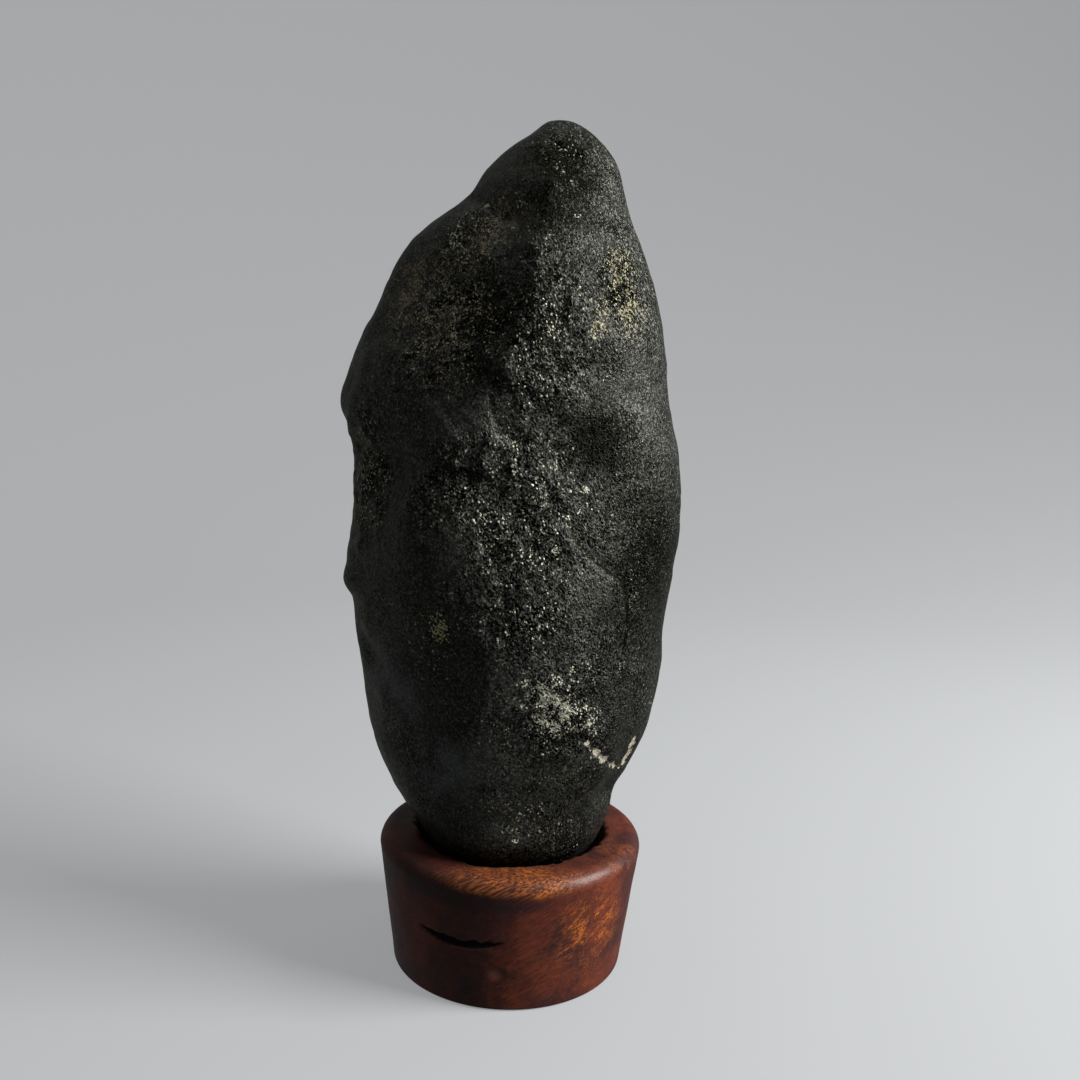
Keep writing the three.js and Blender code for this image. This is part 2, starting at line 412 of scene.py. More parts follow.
def line_on_front(points, line):
    """For each point, how far it is from a line on the front (more than 0 on the line's left side)
    and how far along the line its nearest place is, from 0 to 1."""
    flat = points[:, [0, 2]]
    stops = np.array(line, dtype=float)
    steps = np.linalg.norm(np.diff(stops, axis=0), axis=1)
    nearest = np.full(len(points), 1e9)
    side = np.ones(len(points))
    share_along = np.zeros(len(points))
    walked = 0.0
    for start, end, step in zip(stops[:-1], stops[1:], steps):
        run = (end - start) / step
        offset = flat - start
        t = np.clip(offset @ run, 0, step)
        gap = np.linalg.norm(offset - t[:, None] * run, axis=1)
        closer = gap < nearest
        nearest = np.where(closer, gap, nearest)
        turn = run[0] * offset[:, 1] - run[1] * offset[:, 0]
        side = np.where(closer, np.where(turn >= 0, 1.0, -1.0), side)
        share_along = np.where(closer, (walked + t) / steps.sum(), share_along)
        walked += step
    return nearest * side, share_along


def taper(share_along, start, end):
    """1 along most of a line, falling to 0 at its two ends."""
    return smooth_ramp(share_along, 0, start) * smooth_ramp(1 - share_along, 0, end)


def on_front(points):
    """1 on the front half, falling to 0 where it turns to the back."""
    return smooth_ramp(-points[:, 1], 0, 5)


def step_edge(points, line, height, fall, sharp, start, end, left=True):
    """A face that stands proud on one side of a line, and sinks back over a distance."""
    gap, share_along = line_on_front(points, line)
    gap = gap if left else -gap
    rise = smooth_ramp(gap, -sharp, sharp) * np.exp(-np.clip(gap, 0, None) / fall)
    dip = -0.35 * np.exp(-(((gap + sharp) / (2.2 * sharp)) ** 2))
    return height * (rise + dip) * taper(share_along, start, end) * on_front(points)


def arris(points, line, height, fall, start, end):
    """A worn edge that stands up along a line and sinks away on both sides."""
    gap, share_along = line_on_front(points, line)
    rise = np.exp(-np.sqrt(gap**2 + 0.8) / fall)
    return height * rise * taper(share_along, start, end) * on_front(points)


def crease(points, line, depth, width, start, end):
    """A rounded furrow along a line."""
    gap, share_along = line_on_front(points, line)
    return -depth * np.exp(-((gap / width) ** 2)) * taper(share_along, start, end) * on_front(points)


def gap_to_line(points, line):
    """How far each point of the front is from a line. Points of the back, and past its end, count as
    further off."""
    gap, share_along = line_on_front(points, line)
    return np.abs(gap) + 3.0 * (1 - smooth_ramp(-points[:, 1], 0, 4)) + 0.6 * (share_along == 1.0)


def rugged_share(points):
    """How rugged the skin is, from 0 to 1."""
    total = sum(swelling(points, middle, reach) for middle, reach in RUGGED)
    rubbed = sum(swelling(points, middle, reach) for middle, reach in SMOOTH)
    return np.clip(total * 1.6, 0, 1) * (1 - 0.8 * np.clip(rubbed * 1.5, 0, 1))


def noise_at(points, size, octaves=3, shift=0.0):
    """Soft waves about this many millimetres across, 0 on average."""
    spot = Vector((shift, 2 * shift, 3 * shift))
    return np.array(
        [noise.fractal(Vector(point) / size + spot, 1.0, 2.0, octaves) for point in points.tolist()]
    )


def pebbles_at(points, size):
    """Rounded grains: 1 on their tops and 0 in the seams between them."""
    gaps = []
    for point in points.tolist():
        first, second = noise.voronoi(Vector(point) / size, distance_metric="DISTANCE")[0][:2]
        gaps.append(second - first)
    return smooth_ramp(np.array(gaps), 0.0, 0.45)


def plates_at(points, size):
    """Broken plates, each tipped its own way, that meet in shallow seams."""
    heights = []
    for point in points.tolist():
        spot = Vector(point) / size
        gaps, middles = noise.voronoi(spot, distance_metric="DISTANCE")
        edge = min((gaps[1] - gaps[0]) / 0.35, 1.0)
        heights.append((spot - middles[0]).dot(noise.cell_vector(middles[0] * 7.3)) * edge)
    return np.array(heights)


def read_points(mesh):
    flat = np.empty(len(mesh.vertices) * 3, dtype=np.float32)
    mesh.vertices.foreach_get("co", flat)
    return flat.reshape(-1, 3).astype(float) / MM


def read_normals(mesh):
    flat = np.empty(len(mesh.vertices) * 3, dtype=np.float32)
    mesh.vertices.foreach_get("normal", flat)
    return flat.reshape(-1, 3).astype(float)


def write_points(mesh, points):
    mesh.vertices.foreach_set("co", (points * MM).astype(np.float32).ravel())
    mesh.update()


def mark_points(mesh, name, values):
    """Stores one number for each point of the mesh, for the finish to read."""
    mesh.attributes.new(name, "FLOAT", "POINT").data.foreach_set("value", values.astype(np.float32))


def shown(name, bm):
    """Turns a finished bmesh into a smooth-shaded object at the origin."""
    mesh = bpy.data.meshes.new(name)
    bm.to_mesh(mesh)
    bm.free()
    mesh.shade_smooth()
    piece = bpy.data.objects.new(name, mesh)
    bpy.context.scene.collection.objects.link(piece)
    return piece


def rounded_copy(settings):
    """The stone's solid with its facets divided and smoothed away."""
    bm = bmesh.new()
    bm.from_mesh(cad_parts["stone"].data)
    bmesh.ops.remove_doubles(bm, verts=bm.verts, dist=MERGE_GAP)
    bmesh.ops.join_triangles(bm, faces=bm.faces, angle_face_threshold=math.pi, angle_shape_threshold=math.pi)
    for cuts in (1, settings.finesse):
        bmesh.ops.subdivide_edges(bm, edges=bm.edges, cuts=cuts, smooth=1.0, use_grid_fill=True)
    for _ in range(SMOOTHING_ROUNDS):
        bmesh.ops.smooth_vert(
            bm, verts=bm.verts, factor=0.5, use_axis_x=True, use_axis_y=True, use_axis_z=True
        )
    return bm


def work_stone(mesh):
    """Moves the skin in and out along its normals: first the large features, then the grain."""
    points = read_points(mesh)
    rise = sum(height * swelling(points, middle, reach) for middle, reach, height in SWELLINGS)
    rise = rise + step_edge(points, LEDGE, 1.7, fall=11, sharp=1.6, start=0.05, end=0.3)
    rise = rise + step_edge(points, STEP, 0.85, fall=9, sharp=0.7, start=0.25, end=0.35, left=False)
    for line, depth, width, start, end in CREASES:
        rise = rise + crease(points, line, depth, width, start, end)
    rise = rise + arris(points, RIDGE, 3.2, fall=8.0, start=0.15, end=0.1)
    rise = rise + arris(points, LOW_RIDGE, 0.5, fall=6.0, start=0.15, end=0.3)
    points = points + read_normals(mesh) * rise[:, None]
    write_points(mesh, points)
    for name, line in MARKED_LINES.items():
        mark_points(mesh, name, gap_to_line(points, line))

    # Waves, large and small broken plates, finer waves and pebbles, each by its height and size.
    rugged = rugged_share(points)
    rough = 0.45 * noise_at(points, 9.0) * (0.4 + rugged)
    rough = rough + 1.3 * plates_at(points, 7.5) * (0.25 + 0.75 * rugged)
    rough = rough + 0.45 * plates_at(points, 3.4) * (0.1 + 0.9 * rugged)
    rough = rough + 0.20 * noise_at(points, 3.2, shift=5.3) * (0.20 + rugged)
    rough = rough + 0.20 * (pebbles_at(points, 2.4) - 0.6) * rugged
    points = points + read_normals(mesh) * rough[:, None]
    write_points(mesh, points)


# ---- The stone's finish ----

# Colours of single marks that no setting changes.
# Painted shade in the seams and hollows of the grain.
SEAM_SHADE_BLACK = (0.0012, 0.0012, 0.0010)
SHEEN_GREY = (0.048, 0.054, 0.054)
FOOT_CREAM = (0.20, 0.19, 0.12)
MOSS_YELLOW = (0.36, 0.35, 0.17)
VEIN_GREY = (0.22, 0.22, 0.17)
CHIP_CREAM = (0.40, 0.36, 0.28)

# How far the grain and the stain's streaks are turned about Y, in degrees.
GRAIN_LEAN = -28
STREAK_LEAN = -32

# Each list below gives patches of the stone by their middle and reach. First, single pale grains.
PALE_GRAINS = [
    ((9.6, -14.6, 176.8), (1.5, 2.5, 0.8)),
    ((-10.2, -8.2, 179.6), (1.2, 2.5, 0.9)),
    ((-6.4, -9.7, 181), (0.8, 2, 0.7)),
    ((-2.2, -12.3, 179.4), (1.6, 3, 2.4)),
    ((-3.6, -14, 173.3), (1.2, 3, 1.3)),
    ((8, -27, 105.8), (1.5, 3, 1.5)),
    ((13.9, -23.4, 118.6), (1.3, 3, 1.3)),
    ((1.6, -26, 39.5), (1, 3, 0.9)),
    ((-3.6, -30.6, 87), (1, 3, 0.9)),
]

# Brown flecks on the upper left face.
STAINED = [((-16, -15, 154), (20, 22, 28)), ((-26, -8, 160), (10, 14, 14)), ((-7, -13, 175), (13, 14, 13))]

# The smoother band on the lower left, painted greyer as a sheen of reflected light.
SHEEN = [((-27, -17, 70), (15, 18, 13)), ((-15, -26, 56), (12, 14, 12))]

# Painted shade: patches made darker and less glossy, in the hollow, low on the right, on and below the knob,
# beside the ridge, and where the foot sinks into the socket.
PAINTED_SHADE = [
    ((17, -20, 129), (12, 16, 13)),
    ((28, -12, 104), (16, 30, 38)),
    ((7, -11, 186), (15, 16, 14)),
    ((5, -18, 178), (12, 12, 10)),
    ((2, -22, 33), (28, 16, 9)),
    ((-8, -20, 152), (10, 14, 20)),
]

# Where the grain gathers into lumps: down the ridge, on the ochre patch and on the knob.
LUMPY = [((2, -22, 152), (18, 18, 32)), ((20, -14, 162), (10, 14, 14)), ((6, -12, 190), (10, 12, 9))]

# The ochre patch near the top right.
OCHRE = [((20, -15, 167), (6, 12, 8)), ((21, -15, 157), (8, 12, 10)), ((15, -18, 154), (5, 12, 7))]

# The white patch above the foot, which runs up to the left.
WHITE = [((11, -27, 68), (8, 14, 7)), ((7, -29, 74), (11, 14, 11)), ((18, -24, 67), (4, 12, 5))]

# Thin pale drips on the foot.
FOOT = [((2, -26, 42), (4, 10, 10)), ((9, -22, 38), (6, 12, 12)), ((13, -24, 56), (5, 12, 6))]

# The yellowish spot at the left.
MOSS = [((-16.3, -28.4, 88), (3.6, 6, 5))]

# Where more pale grains are strewn.
STREWN = [
    ((-17, -27, 84), (13, 12, 13)),
    ((-35, -12, 120), (9, 16, 26)),
    ((4, -25, 45), (12, 12, 14)),
    ((-3, -29, 66), (6, 8, 9)),
]


def rugged_mask(paint):
    """1 where the stone is rugged, broken up, and least where it is rubbed smooth."""
    patchy = paint.fade(paint.clouds(9.0, detail=4.0, roughness=0.6), 0.34, 0.60)
    rugged = (paint.zone(RUGGED) * 1.3).or_less(1.0) * (0.45 + 0.55 * patchy)
    rugged = rugged * (1 - 0.85 * paint.zone(SMOOTH).or_less(1.0))
    elsewhere = paint.fade(paint.clouds(16.0, detail=5.0, roughness=0.65), 0.42, 0.62)
    return rugged.or_more(0.35 * elsewhere)


def leathery_grain(paint, size, rugged):
    """Wrinkles, lumps and tipped crumbs, with the seams and hollows between them painted black as shade. Gives
    the height, how black the seams, hollows and darker crumbs are, where crumb tops are painted lighter as
    glints, the finer crumbs' own tone and pick, and the coarser crumbs' own dullness."""
    x = paint.parts(paint.place)[0]
    rightwards = paint.fade(x, -8.0, 14.0)
    lean = paint.turned((0, GRAIN_LEAN, 0), (1.0, 1.0, 1.35))
    seam, tip, (_, _, dullness) = paint.crumbs(size, lean, wander=0.9)
    _, fine_tip, (fine_tone, fine_pick, _) = paint.crumbs(size * 0.52, lean, wander=0.8)
    wrinkle = paint.wrinkles(size * 2.0, detail=1.6, at=lean, distortion=0.6)
    fine_wrinkle = paint.wrinkles(size * 1.1, detail=1.0, at=lean, distortion=0.4)
    lump = paint.clouds(size * 3.2, detail=2.5, roughness=0.6, at=lean, distortion=0.7)

    gritty = 0.12 + 0.88 * rugged
    coarse = gritty * (0.2 + 0.8 * paint.zone(LUMPY).or_less(1.0))
    fine = 0.40 + 0.20 * rightwards + 0.30 * rugged
    height = (wrinkle * 0.40 + lump * 2.2 + tip * 0.30) * coarse
    height = height + (fine_wrinkle * 0.30 + fine_tip * 0.20) * fine

    # Painted shade: black in the hollows between the lumps and the wrinkles and along the seams; each fine
    # crumb also darkens by its own random tone.
    gaps = paint.fade(lump, 0.48, 0.40) * coarse
    gaps = gaps + paint.fade(fine_wrinkle, 0.60, 0.38) * (0.12 + 0.22 * rightwards + 0.60 * rugged)
    gaps = gaps + paint.fade(seam, 0.10, 0.02) * coarse * 0.7
    gaps = (gaps + (1 - fine_tone) * (0.55 + 0.35 * rugged)).or_less(1.0)

    # Painted glints: the lump tops and the lighter fine crumbs, most where the stone is rugged.
    tops = paint.fade(lump, 0.52, 0.62) * coarse * 0.6
    tops = tops + paint.fade(fine_tone, 0.72, 0.92) * (0.35 + 0.75 * rugged)
    return height, gaps, tops, fine_tone, fine_pick, dullness


def stone_finish(settings):
    tint = (0.98, 1.0, 0.83, 1.0)
    paint = Paint("worn dark stone", settings.body, IOR=1.5, Specular_IOR_Level=0.42, Specular_Tint=tint)
    front = paint.fade(paint.parts(paint.place)[1], 2.0, -6.0)
    rugged = rugged_mask(paint)
    height, gaps, tops, tone, pick, dullness = leathery_grain(paint, settings.grain_size / MM, rugged)

    # Body, greyer worn skin, the smooth band painted greyer as a sheen, crumb tops painted lighter as glints,
    # and a faint brown wash.
    broad = paint.fade(paint.clouds(24.0, detail=5.0, roughness=0.6), 0.38, 0.66)
    skin = paint.blend(broad, tuple(settings.body), tuple(settings.worn))
    sheen = paint.zone(SHEEN) * paint.fade(paint.clouds(5.0, detail=4.0), 0.3, 0.6)
    skin = paint.blend(sheen, skin, SHEEN_GREY)
    skin = paint.blend(tops, skin, tuple(settings.glint))
    lean = paint.turned((0, STREAK_LEAN, 0), (1.0, 1.0, 2.6))
    streaks = paint.clouds(2.6, detail=6.0, roughness=0.72, at=lean)
    stain = paint.zone(STAINED).or_less(1.0) * paint.fade(streaks, 0.38, 0.56)
    stain = stain * paint.fade(paint.clouds(7.0, detail=4.0), 0.30, 0.50)
    skin = paint.blend(stain * 0.2, skin, tuple(settings.stain))

    # Pale mineral takes up single fine crumbs: more and more of them towards the middle of a patch.
    ragged = paint.clouds(2.4, detail=5.0, roughness=0.7)
    gathering = paint.fade(paint.clouds(5.0, detail=3.0), 0.52, 0.7)
    drips = paint.clouds(2.2, detail=4.0, roughness=0.6, at=paint.turned((0, 0, 0), (1.0, 1.0, 4.0)))
    flecks = paint.pick_out(pick, stain * 0.46)
    ochre = paint.pick_out(pick, paint.zone(OCHRE) * 0.46 * paint.fade(ragged, 0.36, 0.56))
    white = paint.pick_out(pick, (paint.zone(WHITE) ** 1.5) * 0.66 * paint.fade(ragged, 0.40, 0.58))
    foot = paint.pick_out(pick, paint.zone(FOOT) * 0.30 * paint.fade(drips, 0.42, 0.56))
    moss = paint.pick_out(pick, paint.zone(MOSS) * 0.6)
    grains = paint.pick_out(pick, paint.zone(PALE_GRAINS) * 0.9)
    strewn = 0.022 + 0.14 * rugged + 0.07 * paint.zone(STREWN)
    scattered = paint.pick_out(pick, strewn * (0.5 + 0.5 * gathering) * front)

    # The lines: the chip's white edge, the pale vein, and painted shade along the crack of the step.
    crumbly = paint.clouds(1.1, detail=5.0, roughness=0.75)
    breaks = paint.clouds(3.2, detail=2.0)
    chip_away = paint.attribute("chip_gap") + 2.6 * (crumbly - 0.48) + 4.0 * (breaks - 0.53)
    vein_away = paint.attribute("vein_gap") + 6.0 * (crumbly - 0.45)
    step_away = paint.attribute("step_gap") + 2.2 * (crumbly - 0.5)
    chip_edge = paint.fade(chip_away, 0.60, 0.15)
    vein = paint.fade(vein_away, 0.9, 0.1) * 0.5
    gaps = gaps + 0.12 * paint.fade(paint.clouds(9.0, detail=5.0, roughness=0.65), 0.56, 0.40)
    gaps = (gaps + paint.fade(step_away, 0.52, 0.10) * 0.7).or_less(1.0)

    mineral = tuple(settings.mineral)
    for mask, over in (
        (flecks * 0.9, tuple(settings.stain)),
        (scattered * 0.8, mineral),
        (ochre * (0.25 + 0.75 * tone), tuple(settings.ochre)),
        (foot * 0.8, FOOT_CREAM),
        (white * (0.3 + 0.7 * tone), mineral),
        (moss, MOSS_YELLOW),
        (vein, VEIN_GREY),
        (chip_edge * 0.9, CHIP_CREAM),
        (grains * 0.9, mineral),
    ):
        skin = paint.blend(mask, skin, over)

    # Painted shade: the seams, the hollows and the shaded patches are painted black, with no gloss.
    pale = (scattered + ochre + white + moss + grains + chip_edge + flecks).or_less(1.0)
    gaps = (gaps + 0.5 * paint.zone(PAINTED_SHADE).or_less(1.0)).or_less(1.0) * (1 - 0.75 * pale) * (1 - 0.6 * sheen)
    skin = paint.blend(gaps, skin, SEAM_SHADE_BLACK)
    roughness = 0.38 - 0.16 * rugged + 0.10 * dullness + 0.2 * pale
    bump = paint.bump(settings.grain_height, height)
    return paint.finish_with(Base_Color=skin, Roughness=roughness, Metallic=gaps, Normal=bump)


# ---- The stand ----

# The split in the side: its middle's azimuth and height, its half length round the side, half its height, its
# depth, and how it sags: by the square of the way along it, and by the way along it.
SPLIT = {
    "azimuth": -110.5,
    "height": 16.2,
    "half_length": 11.2,
    "half_height": 1.15,
    "depth": 1.35,
    "sag": 0.0126,
    "slope": -0.007,
}
SCAR = (-1.5, -29.5, 9.3)  # middle of the small scar low on the front
MOUTH = 22.0  # radius of the socket's mouth before it is let out to the stone
WALL_DEPTH = 8.5
EDGE_BREAK = 0.35  # how far the socket's edge is rubbed down
GOUGE_STROKES = 42
GOUGE_SEED = 7
CLOSE = 1e-3  # heights and radii that differ by less are the same

# How many steps each stretch of the turned outline has.
HEEL_STEPS = 6
SIDE_STEPS = 68
LIP_STEPS = 14
TOP_STEPS = 14
WALL_STEPS = 18
FLOOR_STEPS = 6


def turned_outline(settings):
    """The outline as [radius, height], from the middle of the underside to the middle of the socket."""
    top, rim = STAND_HIGH.z / MM, STAND_HIGH.x / MM
    heel, toe = settings.heel_radius / MM, settings.heel_round / MM
    lip = settings.lip_round / MM
    outline = [(0.0, 0.0), (heel * 0.6, 0.0)]
    for step in range(HEEL_STEPS + 1):
        turn = math.pi / 2 * step / HEEL_STEPS
        outline.append((heel - toe + toe * math.sin(turn), toe - toe * math.cos(turn)))
    for step in range(1, SIDE_STEPS):
        up = step / SIDE_STEPS
        outline.append((heel + (rim - heel) * up, toe + (top - lip - toe) * up))
    for step in range(LIP_STEPS + 1):
        turn = math.pi / 2 * step / LIP_STEPS
        outline.append((rim - lip + lip * math.cos(turn), top - lip + lip * math.sin(turn)))
    flat = rim - lip
    outline += [(flat + (MOUTH - flat) * step / TOP_STEPS, top) for step in range(1, TOP_STEPS + 1)]
    outline += [(MOUTH, top - WALL_DEPTH * step / WALL_STEPS) for step in range(1, WALL_STEPS + 1)]
    outline += [(MOUTH * (1 - step / FLOOR_STEPS), top - WALL_DEPTH) for step in range(1, FLOOR_STEPS + 1)]
    return outline


def spun(outline, steps):
    """A form turned from an outline of [radius, height] in millimetres."""
    bm = bmesh.new()
    vertices = [bm.verts.new((radius * MM, 0, height * MM)) for radius, height in outline]
    edges = [bm.edges.new(pair) for pair in zip(vertices[:-1], vertices[1:])]
    turn = {"cent": (0, 0, 0), "axis": (0, 0, 1), "angle": 2 * math.pi, "steps": steps}
    bmesh.ops.spin(bm, geom=vertices + edges, use_merge=True, **turn)
    bmesh.ops.remove_doubles(bm, verts=bm.verts, dist=0.001 * MM)
    bmesh.ops.recalc_face_normals(bm, faces=bm.faces)
    return bm


def stand_probe():
    """The stand's solid, in millimetres, for casting rays at."""
    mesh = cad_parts["stand"].data
    corners = [vertex.co / MM for vertex in mesh.vertices]
    return BVHTree.FromPolygons(corners, [tuple(face.vertices) for face in mesh.polygons])


def socket_wall(probe, azimuth, height):
    """How far the socket's wall is from the stand's axis, read from the solid."""
    outwards = Vector((math.cos(azimuth), math.sin(azimuth), 0))
    return probe.ray_cast(Vector((0, 0, height)), outwards)[3]


def socket_floor(probe, x, y):
    """The height of the socket's floor, read from the solid."""
    return probe.ray_cast(Vector((x, y, STAND_HIGH.z / MM + 5)), Vector((0, 0, -1)))[0].z


def gouge_strokes(rng):
    """Each stroke's azimuth, half width, depth and how far down the wall it runs."""
    strokes = []
    for number in range(GOUGE_STROKES):
        azimuth = 2 * math.pi * (number + rng.uniform(-0.4, 0.4)) / GOUGE_STROKES
        strokes.append((azimuth, rng.uniform(0.05, 0.11), rng.uniform(0.15, 0.62), rng.uniform(2.0, 9.0)))
    return strokes


def gouged(strokes, azimuth, below_top):
    """How far the strokes cut into the wall at a place."""
    cut = 0.0
    for middle, half_width, depth, run in strokes:
        away = abs((azimuth - middle + math.pi) % (2 * math.pi) - math.pi) / half_width
        if away < 1 and below_top < run:
            cut = max(cut, depth * (1 - away * away) * (1 - below_top / run))
    return cut


def carve_socket(points):
    """Lets the mouth out to the stone, with the marks of the gouge, and sinks the floor."""
    probe = stand_probe()
    strokes = gouge_strokes(random.Random(GOUGE_SEED))
    top = STAND_HIGH.z / MM
    flat = STAND_HIGH.x / MM - bpy.context.scene.rock_stand.lip_round / MM
    for point in points:
        x, y, z = point
        radius = math.hypot(x, y)
        on_top = z > top - CLOSE and radius < flat - CLOSE
        inside = top - WALL_DEPTH - CLOSE < z < top - CLOSE and radius < MOUTH + CLOSE
        if not on_top and not inside:
            continue
        azimuth = math.atan2(y, x)
        below = top - z
        chatter = 0.10 * noise.noise(Vector((math.cos(azimuth) * 9, math.sin(azimuth) * 9, z * 0.4)))
        wall = socket_wall(probe, azimuth, min(z, top - 0.05)) + gouged(strokes, azimuth, below)
        wall += chatter
        if on_top:
            share_in = (flat - radius) / (flat - MOUTH)
            new = flat - (flat - wall) * share_in
            # The very edge is broken a little, deeper where a stroke left it thin.
            drop = EDGE_BREAK * max(0.0, share_in - 0.86) / 0.14
            point[2] = z - drop * (0.5 + gouged(strokes, azimuth, 0.0))
        else:
            new = wall * radius / MOUTH
            if radius < MOUTH - CLOSE or below > WALL_DEPTH - CLOSE:
                new = min(new, wall) * 0.985
        scale = new / radius if radius > 1e-6 else 1.0
        point[0], point[1] = x * scale, y * scale
        if inside and radius < MOUTH - CLOSE:
            point[2] = min(z, socket_floor(probe, point[0], point[1]))
    return points


def split_in_side(points):
    """The lens-shaped natural split: 1 in its middle, falling to 0 at its edge."""
    radius = np.hypot(points[:, 0], points[:, 1])
    azimuth = np.arctan2(points[:, 1], points[:, 0]) - math.radians(SPLIT["azimuth"])
    along = radius * ((azimuth + math.pi) % (2 * math.pi) - math.pi)
    sag = SPLIT["height"] + SPLIT["sag"] * along**2 + SPLIT["slope"] * along
    spots = [Vector((way / 1.6, 0.3, height / 3.0)) for way, height in zip(along, points[:, 2])]
    ragged = np.array([noise.fractal(spot, 1.0, 2.0, 3) for spot in spots])
    reach = np.clip(1 - (along / SPLIT["half_length"]) ** 2, 0, 1) ** 0.75
    half_height = SPLIT["half_height"] * reach * (1 + 0.35 * ragged) + 1e-6
    away = np.abs(points[:, 2] - sag - 0.25 * ragged) / half_height
    on_side = smooth_ramp(radius, 24.0, 27.0)
    return np.where(reach > 0, np.clip(1 - away**2, 0, 1), 0) * on_side * reach


def work_stand(mesh):
    """Carves the socket, opens the split and leaves the side as uneven as a hand-rubbed turning."""
    points = carve_socket(read_points(mesh))
    radius = np.hypot(points[:, 0], points[:, 1])
    outside = smooth_ramp(points[:, 2], 0.4, 1.4) * smooth_ramp(radius, 24.5, 26.5)
    uneven = 0.09 * noise_at(points, 11.0, 2) + 0.03 * noise_at(points, 2.6, 2, shift=3.0)
    flat = np.stack([points[:, 0], points[:, 1]], axis=1) / np.maximum(radius, 1e-6)[:, None]
    inward = SPLIT["depth"] * split_in_side(points) - uneven * outside
    scar = swelling(points, SCAR, (2.6, 3, 2.2)) * 0.25
    points[:, :2] -= flat * (inward + scar)[:, None]
    mark_points(mesh, "split", split_in_side(points))
    write_points(mesh, points)


# ---- The wood's finish ----

WOOD_LEAN = (8, -27, 6)  # the grain runs across the block and rises to the right
WOOD_RELIEF = 0.045 * MM  # how strongly pores and fibres stand out

# Colours of single marks that no setting changes.
PORE_DARK = (0.006, 0.003, 0.002)
SCAR_PINK = (0.17, 0.065, 0.035)
SOCKET_BROWN = (0.028, 0.012, 0.008)
SPLIT_DARK = (0.0035, 0.0022, 0.0018)

# Patches of the wood: middle, reach and softness.
FRONT_LIP = ((3, -29.8, 31.2), (24, 12, 3.0), 0.55)
SHADOW_BELOW_LIP = [((-3, -29.5, 27.0), (22, 12, 3.0), 0.7), ((-14, -26, 28.2), (13, 12, 3.6), 0.7)]
LIT_RIGHT_FLANK = ((19, -22, 18), (12, 16, 13), 0.8)
LIT_RIGHT_RIM = ((26, -14, 31), (12, 16, 5), 0.8)
SHADED_LEFT_RIM = ((-20, -22, 32), (20, 18, 8), 0.8)


def wood_finish(settings):
    paint = Paint("lacquered red wood", settings.red, Coat_Roughness=0.20, IOR=1.45, Specular_IOR_Level=0.17)
    x, y, z = paint.parts(paint.place)
    radius = (x * x + y * y) ** 0.5
    top = STAND_HIGH.z / MM
    dark, red = tuple(settings.dark), tuple(settings.red)

    # Figure, fibres and pores, all drawn out along the grain.
    along = paint.turned(WOOD_LEAN, (16.0, 2.2, 2.2))
    figure = paint.clouds(1.0, detail=5.0, roughness=0.62, at=along, distortion=0.6)
    threads = paint.clouds(1.0, detail=4.0, roughness=0.7, at=paint.turned(WOOD_LEAN, (5.0, 0.34, 0.34)))
    pores = paint.clouds(1.0, detail=2.0, roughness=0.6, at=paint.turned(WOOD_LEAN, (2.4, 0.22, 0.22)))
    pores = paint.fade(pores, 0.60, 0.72)

    # Bands of darker heartwood.
    heart = paint.fade(paint.clouds(13.0, detail=4.0, roughness=0.6, distortion=0.4), 0.36, 0.66)
    wood = paint.blend(heart, dark, red)
    wood = paint.blend(paint.fade(figure, 0.35, 0.7) * 0.6, wood, tuple(0.55 * part for part in red))
    lip = paint.near(*FRONT_LIP)
    # Painted shadow under the front lip, and painted shade on the lip's ground, in the dark wood colour.
    lip_and_shadow_below = (lip + paint.zone(SHADOW_BELOW_LIP)).or_less(1.0)
    wood = paint.blend(lip_and_shadow_below * 0.9, wood, dark)
    # Painted shade on the left of the rim, away from the light.
    wood = paint.blend(paint.near(*SHADED_LEFT_RIM) * 0.6, wood, dark)

    # Golden ribbons, painted as light: along the front lip, on the right flank and on the right of the rim,
    # where the light falls, and a few of the figure's own elsewhere.
    broken = paint.clouds(1.9, detail=5.0, roughness=0.7, at=paint.turned(WOOD_LEAN, (5.5, 1.0, 1.0)))
    broken = paint.fade(broken, 0.42, 0.62) * paint.fade(paint.clouds(7.0, detail=3.0), 0.34, 0.52)
    lit = lip * (0.42 + 0.45 * broken) + paint.near(*LIT_RIGHT_FLANK) * broken
    lit = (lit + paint.near(*LIT_RIGHT_RIM) * 0.4 * broken).or_less(1.0)
    elsewhere = paint.fade(paint.clouds(9.0, detail=5.0, roughness=0.65), 0.6, 0.8) * 0.45
    gold = (lit + elsewhere).or_less(1.0) * (0.12 + 0.88 * paint.fade(threads, 0.40, 0.58))
    wood = paint.blend(gold, wood, tuple(settings.gold))
    wood = paint.blend(paint.fade(threads, 0.62, 0.40) * 0.45, wood, tuple(0.35 * part for part in dark))
    wood = paint.blend(pores * 0.8, wood, PORE_DARK)

    # The small scar, the bare socket, painted darker inside, and the split, which is dark inside.
    wood = paint.blend(paint.near(SCAR, (2.4, 3, 2.0), 0.8) * 0.4, wood, SCAR_PINK)
    inside = paint.fade(radius, 25.5, 24.0) * paint.fade(z, top - 0.25, top - 1.4)
    wood = paint.blend(inside, wood, SOCKET_BROWN)
    split = paint.attribute("split")
    wood = paint.blend(paint.fade(split, 0.04, 0.34), wood, SPLIT_DARK)

    bare = (inside + paint.fade(split, 0.05, 0.4)).or_less(1.0)
    roughness = 0.40 + 0.12 * paint.clouds(5.0, detail=3.0) + 0.10 * pores + 0.3 * bare
    relief = paint.clouds(1.6, detail=3.0) * 0.5 - pores * 0.8 + threads * 0.25
    bump = paint.bump(WOOD_RELIEF, relief)
    lacquer = settings.lacquer * (1 - bare)
    return paint.finish_with(Base_Color=wood, Roughness=roughness, Coat_Weight=lacquer, Normal=bump)


# ---- The stage ----

